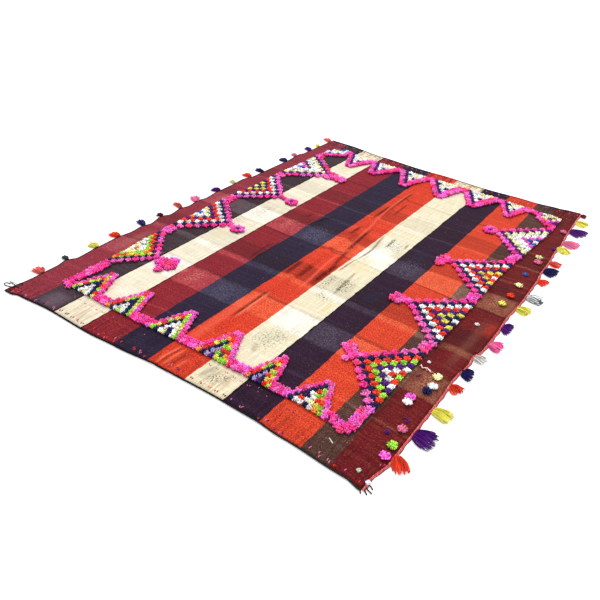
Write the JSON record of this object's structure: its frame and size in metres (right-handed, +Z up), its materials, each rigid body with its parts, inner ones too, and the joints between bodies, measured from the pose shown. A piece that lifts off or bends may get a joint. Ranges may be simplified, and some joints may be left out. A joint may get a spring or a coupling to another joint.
{
  "type": "jajim rug",
  "caption": "Flat-woven striped wool rug lying flat, with a raised knotted zigzag border and triangle motifs, corded edges, and yarn tassels along both long sides.",
  "frame": {"origin": "on the floor, under the middle of the whole rug with its tassels", "axes": "+X across the stripes towards the corded right edge, +Y along the stripes towards the back end, +Z up from the floor"},
  "size_m": [1.5058, 2.0622, 0.0188],
  "materials": {
    "woven_ground": "flat-woven wool in eleven coloured stripes",
    "pile_yarn": "thick knotted wool yarn, pink with many colours",
    "side_cord_yarn": "twisted wool cord",
    "selvedge_yarn": "overcast dark wool",
    "end_binding_yarn": "overcast black wool",
    "yarn_coral": "matt wool yarn",
    "yarn_slate": "matt wool yarn",
    "yarn_yellow": "matt wool yarn",
    "yarn_red": "matt wool yarn",
    "yarn_indigo": "matt wool yarn",
    "yarn_maroon": "matt wool yarn",
    "yarn_terracotta": "matt wool yarn",
    "yarn_rose": "matt wool yarn",
    "yarn_purple": "matt wool yarn",
    "yarn_pale_yellow": "matt wool yarn",
    "yarn_navy": "matt wool yarn",
    "yarn_beige": "matt wool yarn",
    "yarn_pink": "matt wool yarn",
    "yarn_grey": "matt wool yarn",
    "yarn_lime": "matt wool yarn",
    "yarn_white": "matt wool yarn"
  },
  "bodies": {
    "root": {"woven_ground": "woven_ground", "right_side_cord": "side_cord_yarn", "left_side_cord": "selvedge_yarn", "front_end_binding": "end_binding_yarn", "back_end_binding": "end_binding_yarn", "pile_left_1": "pile_yarn", "pile_left_2": "pile_yarn", "pile_left_3": "pile_yarn", "pile_left_4": "pile_yarn", "pile_right_1": "pile_yarn", "pile_right_2": "pile_yarn", "pile_right_3": "pile_yarn", "pile_right_4": "pile_yarn", "pile_front": "pile_yarn", "pile_back": "pile_yarn", "tassel_left_1": "yarn_coral", "tassel_left_2": "yarn_slate", "tassel_left_3": "yarn_yellow", "tassel_left_4": "yarn_red", "tassel_left_5": "yarn_indigo", "tassel_left_6": "yarn_maroon", "tassel_left_7": "yarn_terracotta", "tassel_left_8": "yarn_rose", "tassel_left_9": "yarn_purple", "tassel_left_10": "yarn_pale_yellow", "tassel_left_11": "yarn_red", "tassel_left_12": "yarn_navy", "tassel_left_13": "yarn_navy", "tassel_left_14": "yarn_rose", "tassel_left_15": "yarn_purple", "tassel_left_16": "yarn_yellow", "tassel_left_17": "yarn_coral", "tassel_right_1": "yarn_red", "tassel_right_2": "yarn_purple", "tassel_right_3": "yarn_yellow", "tassel_right_4": "yarn_red", "tassel_right_5": "yarn_navy", "tassel_right_6": "yarn_beige", "tassel_right_7": "yarn_pink", "tassel_right_8": "yarn_purple", "tassel_right_9": "yarn_yellow", "tassel_right_10": "yarn_grey", "tassel_right_11": "yarn_red", "tassel_right_12": "yarn_navy", "tassel_right_13": "yarn_coral", "tassel_right_14": "yarn_yellow", "tassel_right_15": "yarn_rose", "tassel_right_16": "yarn_purple", "tassel_right_17": "yarn_yellow", "tassel_right_18": "yarn_maroon", "tuft_1": "yarn_lime", "tuft_2": "yarn_rose", "tuft_3": "yarn_grey", "tuft_4": "yarn_white", "tuft_5": "yarn_yellow", "tuft_6": "yarn_yellow", "tuft_7": "yarn_red", "tuft_8": "yarn_yellow", "tuft_9": "yarn_pale_yellow", "tuft_10": "yarn_rose"}
  },
  "joints": []
}
